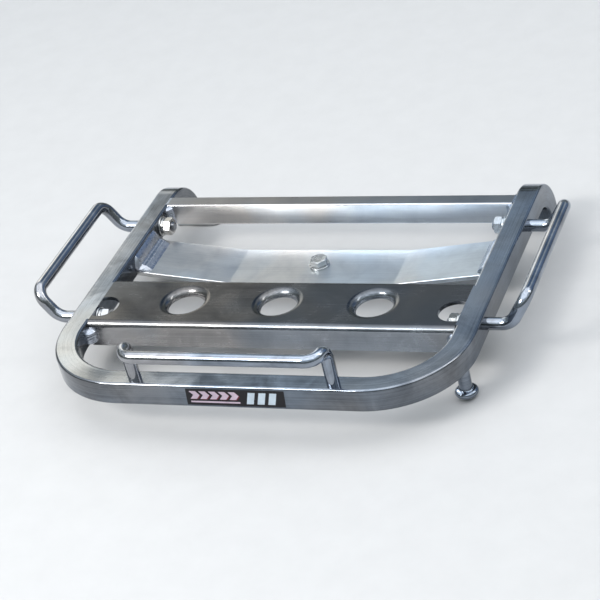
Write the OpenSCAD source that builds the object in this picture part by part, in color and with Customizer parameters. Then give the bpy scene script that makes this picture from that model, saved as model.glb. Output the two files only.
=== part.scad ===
// Tail luggage carrier for a motorcycle.
// A U-shaped rim of rectangular tube carries a pressed load plate, a crossbar, a bent lower bracket,
// a hoop over the tail, a handle of bent round bar at each side and two rope hooks.
// Millimetres, +Z up. The tail is at the low Y end and the seat at the high Y end.
// The origin is midway between the two foot bolt holes, on the underside of the feet.

/* [Rim] */
// Width over the side rails
rim_w = 340; // [330:1:360]
// Length of the flat deck, from the tail face to where the far ends start to bend down
deck_l = 267; // [266:1:290]
// Width of the rim tube, seen from above
tube_w = 18; // [16:0.5:20]
// Height of the rim tube
tube_h = 19.5; // [18:0.5:22]
// Wall of the rim tube
tube_t = 2; // [1.5:0.1:2.5]
// Radius on the long edges of the rim tube
edge_r = 2; // [1:0.1:2.5]
// Outside radius of the two tail corners, seen from above
corner_r = 71.5; // [60:0.5:75]
// Outside radius of the bend at each far end
drop_r = 42; // [38:0.5:46]

/* [Load plate] */
// Distance from the tail face to the plate's front face
plate_y = 77.8; // [76:0.1:80]
// Length of the plate along the deck
plate_l = 61.3; // [55:0.1:64]
// Thickness of the sheet
plate_t = 3; // [2:0.5:3]
// Outside radius of the folded edges
fold_r = 5; // [3.2:0.1:6]
// Depth of the folded front edge
front_flange_h = 22; // [16:0.5:24]
// Depth of the folded rear edge
rear_flange_h = 12; // [8:0.5:13]
// Spacing of the three dimpled holes
hole_pitch = 79; // [70:0.5:84]
// Distance from the tail face to the centres of the dimpled holes
hole_y = 110; // [106:0.1:111]
// Clear radius of a dimpled hole
hole_r = 14.6; // [12:0.1:16]
// Radius of the pressed lip of a dimpled hole
lip_r = 6.4; // [3.6:0.1:7]
// Radius of the wrench notch at each end of the plate
notch_r = 13.2; // [12:0.1:14]
// Distance from the side rail's inner wall to the notch's centre
notch_in = 5.1; // [4:0.1:6]
// Distance from the tail face to the notch's centre
notch_y = 100.3; // [99:0.1:102]

/* [Crossbar] */
// Distance from the tail face to the crossbar
crossbar_y = 250; // [240:0.5:252]
// Width of the crossbar tube
crossbar_w = 13.3; // [12:0.1:14]
// Wall of the crossbar tube
crossbar_t = 1.5; // [1:0.1:2]

/* [Lower bracket] */
// Width of the flat bar
bracket_w = 49; // [40:1:50]
// Thickness of the flat bar
bracket_t = 4; // [3:0.5:5]
// Distance from the tail face to the bracket's centre line
bracket_y = 196.5; // [194:0.5:200]
// Half length of the level middle
bracket_flat = 71; // [60:1:80]
// Depth of the level middle's top below the deck
bracket_z = 25.5; // [22:0.5:28]
// Depth of the ends' top below the deck
bracket_end_z = 15.2; // [14:0.1:15.5]

/* [Round bar] */
// Diameter of the handles, the hoop and the hook stems
rod_d = 10; // [8.5:0.5:11]
// Distance from the tail face to the handles' near legs
handle_near_y = 99; // [97:0.5:102]
// Distance from the tail face to the handles' far legs
handle_far_y = 232.5; // [225:0.5:236]
// Distance from the centre plane to the handles' long bars
handle_x = 203; // [198:0.5:206]
// Height of the handles' long bars over the deck
handle_z = 13; // [10:0.5:16]
// Slope of the handle legs, from level
handle_slope = 58; // [50:1:65]
// Bend radius at the handles' corners
handle_corner_r = 10.5; // [8:0.5:12]
// Bend radius where the handle legs turn up
handle_knee_r = 14; // [10:0.5:15]
// Distance from the centre plane to the hoop's posts
post_x = 80; // [70:0.5:90]
// Height of the hoop's bar over the deck
hoop_z = 29.6; // [24:0.1:32]
// Distance that the hoop's bar stands out past the tail face
hoop_out = 6; // [2:0.1:8]
// Distance along the tail over which the hoop's ends swing out
hoop_swing = 4; // [2:0.5:14]

/* [Rope hooks] */
// Distance from the centre plane to the hooks
hook_x = 160.2; // [158:0.1:161]
// Distance from the tail face to the hooks
hook_y = 58; // [56:0.5:62]
// Distance from the tube's underside to the hook's tip
hook_l = 26.3; // [22:0.1:26.4]
// Diameter of the hook's head
hook_head_d = 18; // [15:0.5:20]

/* [Feet and fasteners] */
// Thickness of the feet
foot_t = 4; // [3:0.5:5]
// Distance from the side rail's inner wall to the foot bolt hole
foot_hole_in = 14; // [13:0.5:16]
// Diameter of the foot bolt hole
foot_hole_d = 9; // [8.5:0.1:9]
// Thread diameter of the handle ends and the centre bolt
thread_d = 8; // [8]
// Width across the flats of their nuts and head
hex_af = 13; // [12:0.5:13]
// Diameter of their plain washers
washer_d = 17; // [16:0.5:18]
// Distance from the tail face to the centre bolt
centre_bolt_y = 198; // [196:0.5:200]
// Thread diameter of the hoop screws
hoop_thread_d = 6; // [6]
// Diameter of the hoop screws' heads
hoop_head_d = 10; // [10]
// Diameter of the hoop screws' washers
hoop_washer_d = 12; // [12:0.1:12.6]

/* [Label] */
// Length of the label
label_w = 79; // [60:0.1:80]
// Height of the label
label_h = 14.6; // [10:0.1:15]

/* [Hidden] */

$fn = 64;
rail_out = rim_w / 2;
rail_in = rail_out - tube_w;
rail_mid = rail_out - tube_w / 2;
tube_mid_z = -tube_h / 2;
foot_y = deck_l + drop_r - tube_h / 2;
foot_hole_x = rail_in - foot_hole_in;
deck_z = drop_r + foot_t;
bolt_clear = 0.5;
thread_clear = 0.2;
cut = 1;
nut_h = 6.5;
head_h = 5.3;
washer_t = 1.6;
spring_washer_t = 2;
spring_washer_wide = 3;
spring_gap = 12;
thread_past_nut = 2;
bolt_shank_d = 7.2;
bolt_shank_free = 0.9;
bolt_thread_l = 13.5;
hoop_head_h = 6;
hoop_socket_af = 5;
hoop_socket_h = 3;
hoop_washer_t = 1.2;
hoop_screw_l = 16;
access_d = 14;
post_y = tube_w / 2;
post_bend_r = 7;
bend_lap = 0.3;
bend_swell = 0.02;
swing_bend_r = 10;
hook_head_h = 7;
hook_rim_r = 2.6;
hook_dome_r = 20;
crossbar_edge_r = 1.5;
label_t = 0.3;
label_skew = 1.2;
label_off = 3.6;
crossbar_weld_leg = 5;
plate_weld_leg = 7;
bracket_weld_leg = 12.5;
foot_weld_leg = 4;
hook_weld_leg = 1.6;
weld_tip = 0.25;
fill_leg = 1.1;
under_stack = washer_t + spring_washer_t + nut_h + thread_past_nut;
hoop_bore_l = hoop_screw_l - hoop_washer_t - tube_t + cut;
bracket_fall = (bracket_z - bracket_end_z) / (rail_in - bracket_flat);

// ---- placing ----

// Moves a piece drawn from the deck's top and the tail face into the part's own frame.
module on_deck() {
    translate([0, -foot_y, deck_z]) children();
}

// Draws a piece at the right, and its mirror image at the left.
module both_sides() {
    children();
    mirror([1, 0, 0]) children();
}

// Places a piece at each handle leg, its +Z pointing from the rail's inner wall towards the middle.
module at_handle_legs() {
    both_sides()
        for (y = [handle_near_y, handle_far_y])
            translate([rail_in, y, tube_mid_z]) rotate([0, -90, 0]) children();
}

// Places a piece inside the tail rail under each hoop post, its +Z pointing down from the top wall.
module at_hoop_posts() {
    both_sides() translate([post_x, post_y, -tube_t]) rotate([180, 0, 0]) children();
}

// ---- sections ----

module rounded_rect(w, h, r) {
    square([w - 2 * r, h], center = true);
    square([w, h - 2 * r], center = true);
    for (sx = [-1, 1], sy = [-1, 1])
        translate([sx * (w / 2 - r), sy * (h / 2 - r)]) circle(r);
}

// ---- round bar ----

function unit(v) = v / norm(v);
function run_dir(p, i) = unit(p[i + 1] - p[i]);
function turn(p, i) = acos(run_dir(p, i - 1) * run_dir(p, i));
function setback(p, r, i) = i == 0 || i == len(p) - 1 ? 0 : r[i] * tan(turn(p, i) / 2);

// The straight run from point i to the next. It laps a little into the bends at its ends.
module bar_run(p, r, i) {
    u = run_dir(p, i);
    lap_before = i == 0 ? 0 : bend_lap;
    lap_after = i == len(p) - 2 ? 0 : bend_lap;
    start = p[i] + u * (setback(p, r, i) - lap_before);
    bends = setback(p, r, i) + setback(p, r, i + 1);
    length = norm(p[i + 1] - p[i]) - bends + lap_before + lap_after;
    translate(start) rotate([0, acos(u[2]), atan2(u[1], u[0])]) cylinder(d = rod_d, h = length);
}

// The bend at point i, in the plane of the runs before and after it.
module bar_bend(p, r, i) {
    u = run_dir(p, i - 1);
    v = run_dir(p, i);
    inward = unit(v - (v * u) * u);
    axis = cross(u, inward);
    centre = p[i] - u * setback(p, r, i) + inward * r[i];
    multmatrix([
        [-inward[0], u[0], axis[0], centre[0]],
        [-inward[1], u[1], axis[1], centre[1]],
        [-inward[2], u[2], axis[2], centre[2]],
        [0, 0, 0, 1]
    ])
        rotate_extrude(angle = turn(p, i)) translate([r[i], 0]) circle(d = rod_d + bend_swell);
}

// A round bar through the points p, bent to the radii r.
module bent_bar(p, r) {
    for (i = [0:len(p) - 2]) bar_run(p, r, i);
    for (i = [1:len(p) - 2]) bar_bend(p, r, i);
}

// ---- fasteners, each standing on Z = 0 ----

module hex_prism(flats, h) {
    corner_d = flats / cos(30);
    chamfer = (corner_d - flats) / 2;
    intersection() {
        cylinder(d = corner_d, h = h, $fn = 6);
        union() {
            cylinder(d = corner_d + cut, h = h - chamfer);
            translate([0, 0, h - chamfer]) cylinder(d1 = corner_d, d2 = flats, h = chamfer);
        }
    }
}

module nut() {
    difference() {
        hex_prism(hex_af, nut_h);
        translate([0, 0, -cut]) cylinder(d = thread_d + thread_clear, h = nut_h + 2 * cut);
    }
}

module washer(d, thread, t) {
    difference() {
        cylinder(d = d, h = t);
        translate([0, 0, -cut]) cylinder(d = thread + bolt_clear, h = t + 2 * cut);
    }
}

module spring_washer() {
    rotate_extrude(angle = 360 - spring_gap)
        translate([(thread_d + bolt_clear) / 2, 0]) square([spring_washer_wide, spring_washer_t]);
}

// A cap screw with its head on Z = 0 and its shank below.
module cap_screw() {
    difference() {
        union() {
            cylinder(d = hoop_head_d, h = hoop_head_h);
            translate([0, 0, -hoop_screw_l]) cylinder(d = hoop_thread_d, h = hoop_screw_l + cut);
        }
        translate([0, 0, hoop_head_h - hoop_socket_h])
            cylinder(d = hoop_socket_af / cos(30), h = hoop_socket_h + cut, $fn = 6);
    }
}

// ---- welds ----

// A fillet along +Y in the corner between a wall and a face that falls away from it by the given slope.
module fillet_bead(leg, length, fall = 0) {
    toe_z = -leg * fall;
    rotate([90, 0, 0]) translate([0, 0, -length])
        linear_extrude(length)
            polygon([[0, 0], [leg, toe_z], [leg, toe_z + weld_tip], [weld_tip, leg], [0, leg]]);
}

// An upright fillet on the tail side of a piece that meets the right rail's inner wall at the given Y.
module upright_bead(y, leg, length) {
    translate([rail_in, y, -tube_h]) mirror([1, 0, 0]) rotate([90, 0, 0]) fillet_bead(leg, length);
}

// Metal in the groove over a side rail's rounded inner edge, flush with the deck.
module flush_fill(y, length) {
    translate([rail_in, y, 0]) rotate([-90, 0, 0])
        linear_extrude(length) polygon([[0, 0], [fill_leg, 0], [0, fill_leg]]);
}

// ---- rim ----

// Sweeps a section along the rim: tail rail, tail corners, side rails and the far ends' bends.
module rim_sweep() {
    translate([0, tube_w / 2, tube_mid_z]) rotate([90, 0, 90])
        linear_extrude(rim_w - 2 * corner_r, center = true) children();
    both_sides() {
        translate([rail_out - corner_r, corner_r, tube_mid_z]) rotate([0, 0, -90])
            rotate_extrude(angle = 90) translate([corner_r - tube_w / 2, 0]) children();
        translate([rail_mid, deck_l, tube_mid_z]) rotate([90, 0, 0])
            linear_extrude(deck_l - corner_r) children();
        translate([rail_mid, deck_l, -drop_r]) rotate([0, -90, 0])
            rotate_extrude(angle = 90) translate([drop_r - tube_h / 2, 0]) rotate(90) children();
    }
}

module rim_tube() {
    color("silver") on_deck()
        difference() {
            rim_sweep() rounded_rect(tube_w, tube_h, edge_r);
            rim_sweep() square([tube_w - 2 * tube_t, tube_h - 2 * tube_t], center = true);
            for (y = [handle_near_y, handle_far_y])
                translate([0, y, tube_mid_z]) rotate([0, 90, 0])
                    cylinder(d = thread_d + bolt_clear, h = rim_w + 2 * cut, center = true);
            both_sides() translate([post_x, post_y, -tube_h - cut]) {
                cylinder(d = hoop_thread_d + bolt_clear, h = tube_h + 2 * cut);
                cylinder(d = access_d, h = tube_t + 2 * cut);
            }
        }
}

module left_foot() {
    color("silver") mirror([1, 0, 0]) foot();
}

module right_foot() {
    color("silver") foot();
}

module foot() {
    difference() {
        union() {
            translate([foot_hole_x, -tube_h / 2, 0]) cube([rail_out - foot_hole_x, tube_h, foot_t]);
            translate([foot_hole_x, 0, 0]) cylinder(d = tube_h, h = foot_t);
        }
        translate([foot_hole_x, 0, -cut]) cylinder(d = foot_hole_d, h = foot_t + 2 * cut);
    }
}

// ---- deck pieces ----

// A folded edge of the load plate: a quarter bend and a flange down to the given depth.
module folded_edge(depth) {
    translate([0, fold_r, -fold_r]) rotate([90, 0, 90])
        linear_extrude(2 * rail_in, center = true) {
            intersection() {
                difference() {
                    circle(fold_r);
                    circle(fold_r - plate_t);
                }
                translate([-fold_r, 0]) square(fold_r);
            }
            translate([-fold_r, fold_r - depth]) square([plate_t, depth - fold_r]);
        }
}

// The pressed lip of a dimpled hole: sheet that turns from level to straight down.
module hole_lip() {
    rotate_extrude()
        translate([hole_r + lip_r, -lip_r])
            intersection() {
                difference() {
                    circle(lip_r);
                    circle(lip_r - plate_t);
                }
                translate([-lip_r, 0]) square(lip_r);
            }
}

module load_plate() {
    color("lightgray") on_deck() {
        difference() {
            translate([-rail_in, plate_y + fold_r, -plate_t])
                cube([2 * rail_in, plate_l - 2 * fold_r, plate_t]);
            for (i = [-1:1])
                translate([i * hole_pitch, hole_y, -plate_t - cut])
                    cylinder(r = hole_r + lip_r, h = plate_t + 2 * cut);
            both_sides() translate([rail_in - notch_in, notch_y, -plate_t - cut])
                cylinder(r = notch_r, h = plate_t + 2 * cut);
        }
        for (i = [-1:1]) translate([i * hole_pitch, hole_y, 0]) hole_lip();
        translate([0, plate_y, 0]) folded_edge(front_flange_h);
        translate([0, plate_y + plate_l, 0]) mirror([0, 1, 0]) folded_edge(rear_flange_h);
    }
}

module crossbar() {
    color("lightgray") on_deck()
        translate([0, crossbar_y + crossbar_w / 2, tube_mid_z]) rotate([90, 0, 90])
            linear_extrude(2 * rail_in, center = true)
                difference() {
                    rounded_rect(crossbar_w, tube_h, crossbar_edge_r);
                    square([crossbar_w - 2 * crossbar_t, tube_h - 2 * crossbar_t], center = true);
                }
}

module lower_bracket() {
    color("gainsboro") on_deck()
        difference() {
            translate([0, bracket_y + bracket_w / 2, 0]) rotate([90, 0, 0])
                linear_extrude(bracket_w)
                    polygon([
                        [-rail_in, -bracket_end_z], [-bracket_flat, -bracket_z],
                        [bracket_flat, -bracket_z], [rail_in, -bracket_end_z],
                        [rail_in, -bracket_end_z - bracket_t], [bracket_flat, -bracket_z - bracket_t],
                        [-bracket_flat, -bracket_z - bracket_t], [-rail_in, -bracket_end_z - bracket_t]
                    ]);
            translate([0, centre_bolt_y, -bracket_z - bracket_t - cut])
                cylinder(d = thread_d + bolt_clear, h = bracket_t + 2 * cut);
        }
}

module label() {
    color("black") on_deck()
        translate([label_off, 0, tube_mid_z]) rotate([90, 0, 0])
            linear_extrude(label_t)
                polygon([
                    [-(label_w + label_skew) / 2, -label_h / 2], [(label_w - label_skew) / 2, -label_h / 2],
                    [(label_w + label_skew) / 2, label_h / 2], [-(label_w - label_skew) / 2, label_h / 2]
                ]);
}

// ---- handles, hoop and hooks ----

// The right handle. Its two ends are turned down to the thread diameter and pass through the rail.
module handle() {
    knee_x = handle_x - (handle_z - tube_mid_z) / tan(handle_slope);
    bent_bar(
        [
            [rail_out, handle_near_y, tube_mid_z], [knee_x, handle_near_y, tube_mid_z],
            [handle_x, handle_near_y, handle_z], [handle_x, handle_far_y, handle_z],
            [knee_x, handle_far_y, tube_mid_z], [rail_out, handle_far_y, tube_mid_z]
        ],
        [0, handle_knee_r, handle_corner_r, handle_corner_r, handle_knee_r, 0]
    );
    for (y = [handle_near_y, handle_far_y])
        translate([rail_in - under_stack, y, tube_mid_z]) rotate([0, 90, 0])
            cylinder(d = thread_d, h = tube_w + under_stack + bend_lap);
}

module right_handle() {
    color("lightsteelblue") on_deck() handle();
}

module left_handle() {
    color("lightsteelblue") on_deck() mirror([1, 0, 0]) handle();
}

// The hoop. Each post's foot is tapped for a screw from inside the tail rail.
module tail_hoop() {
    bar_x = post_x - hoop_swing;
    color("lightsteelblue") on_deck()
        difference() {
            bent_bar(
                [
                    [-post_x, post_y, 0], [-post_x, post_y, hoop_z], [-bar_x, -hoop_out, hoop_z],
                    [bar_x, -hoop_out, hoop_z], [post_x, post_y, hoop_z], [post_x, post_y, 0]
                ],
                [0, post_bend_r, swing_bend_r, swing_bend_r, post_bend_r, 0]
            );
            both_sides() translate([post_x, post_y, -cut])
                cylinder(d = hoop_thread_d + thread_clear, h = hoop_bore_l + cut);
        }
}

// A stem with a mushroom head, hanging from the tube's underside.
module rope_hook() {
    head_r = hook_head_d / 2;
    tip_z = -tube_h - hook_l;
    translate([hook_x, hook_y, 0]) {
        translate([0, 0, tip_z + hook_head_h / 2]) cylinder(d = rod_d, h = hook_l - hook_head_h / 2);
        intersection() {
            translate([0, 0, tip_z + hook_head_h - hook_rim_r])
                rotate_extrude() {
                    translate([head_r - hook_rim_r, 0]) circle(hook_rim_r);
                    translate([0, -hook_head_h]) square([head_r - hook_rim_r, hook_head_h + hook_rim_r]);
                }
            translate([0, 0, tip_z + hook_dome_r]) sphere(hook_dome_r, $fn = 96);
        }
    }
}

module right_rope_hook() {
    color("gray") on_deck() rope_hook();
}

module left_rope_hook() {
    color("gray") on_deck() mirror([1, 0, 0]) rope_hook();
}

// ---- fastener groups ----

module handle_washers() {
    color("whitesmoke") on_deck() at_handle_legs() washer(washer_d, thread_d, washer_t);
}

module handle_spring_washers() {
    color("whitesmoke") on_deck() at_handle_legs()
        translate([0, 0, washer_t]) spring_washer();
}

module handle_nuts() {
    color("whitesmoke") on_deck() at_handle_legs() translate([0, 0, washer_t + spring_washer_t]) nut();
}

module hoop_washers() {
    color("whitesmoke") on_deck() at_hoop_posts() washer(hoop_washer_d, hoop_thread_d, hoop_washer_t);
}

module hoop_screws() {
    color("whitesmoke") on_deck() at_hoop_posts() translate([0, 0, hoop_washer_t]) cap_screw();
}

module centre_washer() {
    color("whitesmoke") on_deck() translate([0, centre_bolt_y, -bracket_z]) washer(washer_d, thread_d, washer_t);
}

module centre_bolt() {
    shank = washer_t + bracket_t + bolt_shank_free;
    color("whitesmoke") on_deck() translate([0, centre_bolt_y, washer_t - bracket_z]) {
        hex_prism(hex_af, head_h);
        translate([0, 0, -shank - cut]) cylinder(d = bolt_shank_d, h = shank + 2 * cut);
        translate([0, 0, -shank - bolt_thread_l]) cylinder(d = thread_d, h = bolt_thread_l);
    }
}

// ---- weld groups ----

module crossbar_welds() {
    length = tube_h - edge_r;
    color("white") on_deck() both_sides() {
        upright_bead(crossbar_y, crossbar_weld_leg, length);
        translate([rail_in, crossbar_y + crossbar_w, -tube_h]) rotate([0, 0, 180]) rotate([90, 0, 0])
            fillet_bead(crossbar_weld_leg, length);
        flush_fill(crossbar_y + crossbar_edge_r, crossbar_w - 2 * crossbar_edge_r);
    }
}

module plate_welds() {
    color("lightgray") on_deck() both_sides() {
        upright_bead(plate_y, plate_weld_leg, tube_h - fold_r);
        flush_fill(plate_y + fold_r, plate_l - 2 * fold_r);
    }
}

module bracket_welds() {
    color("white") on_deck() both_sides()
        translate([rail_in, bracket_y - bracket_w / 2, -bracket_end_z]) mirror([1, 0, 0])
            fillet_bead(bracket_weld_leg, bracket_w, bracket_fall);
}

module foot_welds() {
    length = tube_h - 2 * edge_r;
    color("white") both_sides()
        translate([rail_in, -length / 2, foot_t]) mirror([1, 0, 0]) fillet_bead(foot_weld_leg, length);
}

module hook_welds() {
    color("white") on_deck() both_sides()
        translate([hook_x, hook_y, -tube_h - hook_weld_leg])
            difference() {
                cylinder(r1 = rod_d / 2 + weld_tip, r2 = rod_d / 2 + hook_weld_leg, h = hook_weld_leg);
                translate([0, 0, -cut]) cylinder(d = rod_d, h = hook_weld_leg + 2 * cut);
            }
}

rim_tube();
load_plate();
crossbar();
lower_bracket();
left_handle();
right_handle();
tail_hoop();
left_rope_hook();
right_rope_hook();
left_foot();
right_foot();
handle_nuts();
handle_spring_washers();
handle_washers();
hoop_screws();
hoop_washers();
centre_bolt();
centre_washer();
label();
crossbar_welds();
plate_welds();
bracket_welds();
foot_welds();
hook_welds();
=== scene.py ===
import math

import bmesh
import bpy
from mathutils import Matrix, Vector, geometry, noise


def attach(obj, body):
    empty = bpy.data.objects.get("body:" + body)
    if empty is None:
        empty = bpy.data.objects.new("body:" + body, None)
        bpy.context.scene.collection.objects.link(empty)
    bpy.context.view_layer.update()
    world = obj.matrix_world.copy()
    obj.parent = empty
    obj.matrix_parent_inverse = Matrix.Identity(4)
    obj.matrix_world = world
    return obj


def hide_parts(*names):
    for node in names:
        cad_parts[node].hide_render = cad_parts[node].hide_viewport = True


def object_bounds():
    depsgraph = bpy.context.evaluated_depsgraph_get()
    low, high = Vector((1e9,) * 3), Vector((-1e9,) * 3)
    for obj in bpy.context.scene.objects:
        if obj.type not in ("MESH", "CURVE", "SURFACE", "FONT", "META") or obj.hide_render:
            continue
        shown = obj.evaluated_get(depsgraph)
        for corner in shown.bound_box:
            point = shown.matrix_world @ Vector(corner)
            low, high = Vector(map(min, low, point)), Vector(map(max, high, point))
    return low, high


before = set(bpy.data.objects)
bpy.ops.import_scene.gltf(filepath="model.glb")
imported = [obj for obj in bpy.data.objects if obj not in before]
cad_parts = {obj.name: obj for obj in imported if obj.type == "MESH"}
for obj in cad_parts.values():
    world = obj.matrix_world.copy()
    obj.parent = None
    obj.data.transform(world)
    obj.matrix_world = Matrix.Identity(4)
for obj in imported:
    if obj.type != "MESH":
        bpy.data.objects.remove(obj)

cad_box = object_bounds()

# ---- sizes in millimetres; X from the centre plane, Y from the tail face, Z from the deck's top ----

MM_PER_M = 1000
WHOLE = 2 * math.pi
Z = Vector((0, 0, 1))

# feet; the row frame's origin is midway between their holes, on their underside
FOOT_Y, DECK_Z = 299.25, 46.0
FOOT_HOLE_X, FOOT_HOLE_R, FOOT_T, FOOT_BEVEL, BEVEL_ANGLE = 138.0, 4.5, 4.0, 0.5, 40

# rim tube: outside half width, section, wall, edges, tail corners, deck length and turned-down ends
RAIL_OUT, TUBE_W, TUBE_H, TUBE_T, EDGE_R = 170.0, 18.0, 19.5, 2.0, 2.0
RAIL_IN = RAIL_OUT - TUBE_W
MID_Z = -TUBE_H / 2
CORNER_R, DECK_L, DROP_R = 71.5, 267.0, 42.0
RAIL_YS, BEND_STEPS = (240, 180, 130), 32
ACCESS_R = 7.0

# load plate: tail edge, length, sheet, folds, flanges, dimpled holes and the bites at its ends
PLATE_Y, PLATE_L, PLATE_T, FOLD_R = 77.8, 61.3, 3.0, 5.0
FRONT_FLANGE, REAR_FLANGE, FLANGE_ROUND = 22.0, 12.0, 0.5
HOLE_PITCH, HOLE_Y, HOLE_R, LIP_R, LIP_DROP = 79.0, 110.0, 14.6, 6.4, 0.45
NOTCH_R, NOTCH_X, NOTCH_Y = 13.2, RAIL_IN - 5.1, 100.3
PLATE_FLAT = (PLATE_Y + FOLD_R, PLATE_Y + PLATE_L - FOLD_R)

# crossbar, and the bracket with its middle flat and its raised ends
CROSS_Y, CROSS_W, CROSS_EDGE_R = 250.0, 13.3, 1.5
BRACKET_Y, BRACKET_W, BRACKET_T, BRACKET_FLAT, BRACKET_EDGE_R = 196.5, 49.0, 4.0, 71.0, 0.8
BRACKET_Z, BRACKET_END_Z, BRACKET_BEND_R = -25.5, -15.2, 26.0

# round bars: handles and tail hoop
ROD_R = 5.0
HANDLE_YS, HANDLE_X, HANDLE_Z, HANDLE_SLOPE = (99.0, 232.5), 203.0, 13.0, 58.0
HANDLE_CORNER_R, HANDLE_KNEE_R = 10.5, 14.0
POST_X, POST_Y, HOOP_Z, HOOP_OUT, HOOP_SWING = 80.0, 9.0, 29.6, 6.0, 4.0
POST_BEND_R, SWING_BEND_R = 7, 10

# rope hooks: place, length, head, its rounded rim, its dome and the round where the stem meets it
HOOK_X, HOOK_Y, HOOK_L, HOOK_HEAD_R, HOOK_HEAD_H = 160.2, 58.0, 26.3, 9.0, 7.0
HOOK_RIM_R, HOOK_DOME_R, HOOK_NECK_R = 2.6, 20.0, 1.2

# fasteners
THREAD_R, THREAD_PITCH, THREAD_DEPTH, THREAD_GAP = 4.0, 1.25, 0.62, 0.04
THREAD_PROUD, THREAD_OVERLAP = 3.0, 1
HEX_AF, HEX_FACE, HEX_CHAMFER, NUT_H, HEAD_H = 13.0, 0.955, 28, 6.5, 5.3
BORE_R, BORE_LEAD = 4.05, 0.7
WASHER_IN, WASHER_R, WASHER_T, WASHER_ROUND = 4.25, 8.5, 1.6, 0.5
SPRING_T, SPRING_IN, SPRING_OUT, SPRING_TURN = 2.0, 4.25, 7.25, 350
SCREW_HEAD_R, SCREW_HEAD_H, SOCKET_R, SOCKET_FLOOR = 5.0, 6.0, 2.9, 3.0
SCREW_WASHER_IN, SCREW_WASHER_R, SCREW_WASHER_T = 3.25, 6.0, 1.2
BOLT_Y, BOLT_THREAD_L, BOLT_SHANK_R, BOLT_SHANK_FREE = 198.0, 13.5, 3.6, 0.9

# weld legs, where upright beads end below the deck and above the tube's underside, and the flush fills' depth
CROSS_LEG, BRACKET_LEG, FOOT_LEG, PLATE_LEG, HOOK_LEG = 5, 12.5, 4, 7, 1.45
BEAD_TOP, BEAD_RISE, FILL_Z = -1.2, 0.3, -2.2

# label film, its place right of the middle and its slant
LABEL_W, LABEL_H, LABEL_T, LABEL_SKEW, LABEL_X = 79.0, 14.6, 0.2, 1.2, 3.6


def row(p):
    """A deck point in millimetres as a point of the row frame in metres."""
    return Vector((p[0], p[1] - FOOT_Y, p[2] + DECK_Z)) / MM_PER_M


# ---- flat outlines ----


def arc(x, y, r, a0, a1, n):
    """Points of an arc round (x, y), with angles in degrees."""
    angles = [math.radians(a0 + (a1 - a0) * i / n) for i in range(n + 1)]
    return [(x + r * math.cos(a), y + r * math.sin(a)) for a in angles]


def circle(x, y, r, n):
    return arc(x, y, r, 0, 360, n)[:-1]


def rounded_rect(w, h, r, n):
    out = []
    for i, (sx, sy) in enumerate([(1, 1), (-1, 1), (-1, -1), (1, -1)]):
        out += arc(sx * (w / 2 - r), sy * (h / 2 - r), r, 90 * i, 90 * (i + 1), n)
    return out


def inside(p, loop):
    """Whether a flat point lies inside a loop."""
    hit = False
    for a, b in zip(loop, loop[1:] + loop[:1]):
        if (a[1] > p[1]) != (b[1] > p[1]) and p[0] < (b[0] - a[0]) * (p[1] - a[1]) / (b[1] - a[1]) + a[0]:
            hit = not hit
    return hit


# ---- a mesh under construction ----


class Piece:
    """Collects vertices and faces in deck millimetres. Each vertex also has a flow place: how far it is along
    the stock the piece was cut from, and where it is in the stock's section."""

    MERGE_DIGITS, FLAT_MERGE = 3, 1e-5

    def __init__(self):
        self.points, self.flows, self.faces, self.known = [], [], [], {}

    def vertex(self, p, flow):
        key = tuple(round(c, self.MERGE_DIGITS) for c in p)
        if key not in self.known:
            self.known[key] = len(self.points)
            self.points.append(tuple(p))
            self.flows.append(tuple(c / MM_PER_M for c in flow))
        return self.known[key]

    def face(self, corners):
        loop = [c for i, c in enumerate(corners) if c != corners[i - 1]]
        if len(set(loop)) == len(loop) >= 3:
            self.faces.append(loop)

    def rings(self, rings, close_ring=True, close_chain=False):
        """Joins each ring of vertices to the next with four-sided faces."""
        pairs = list(zip(rings, rings[1:]))
        if close_chain:
            pairs.append((rings[-1], rings[0]))
        for a, b in pairs:
            for i in range(len(a) if close_ring else len(a) - 1):
                j = (i + 1) % len(a)
                self.face([a[i], a[j], b[j], b[i]])

    def caps(self, rings):
        """Closes the first and the last ring with a face."""
        self.face(rings[0])
        self.face(rings[-1][::-1])

    def flat(self, outline, circles, place, flow):
        """A flat face with round holes. Place and flow turn a flat point into a point and its flow."""
        flat_points, edges = [], []
        for loop in [outline] + circles:
            start = len(flat_points)
            flat_points += [Vector(p) for p in loop]
            edges += [(start + i, start + (i + 1) % len(loop)) for i in range(len(loop))]
        points, _, faces = geometry.delaunay_2d_cdt(flat_points, edges, [], 1, self.FLAT_MERGE)[:3]
        for corners in faces:
            middle = sum((points[c] for c in corners), Vector((0, 0))) / len(corners)
            if not any(inside(middle, loop) for loop in circles):
                self.face([self.vertex(place(points[c]), flow(points[c])) for c in corners])


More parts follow.
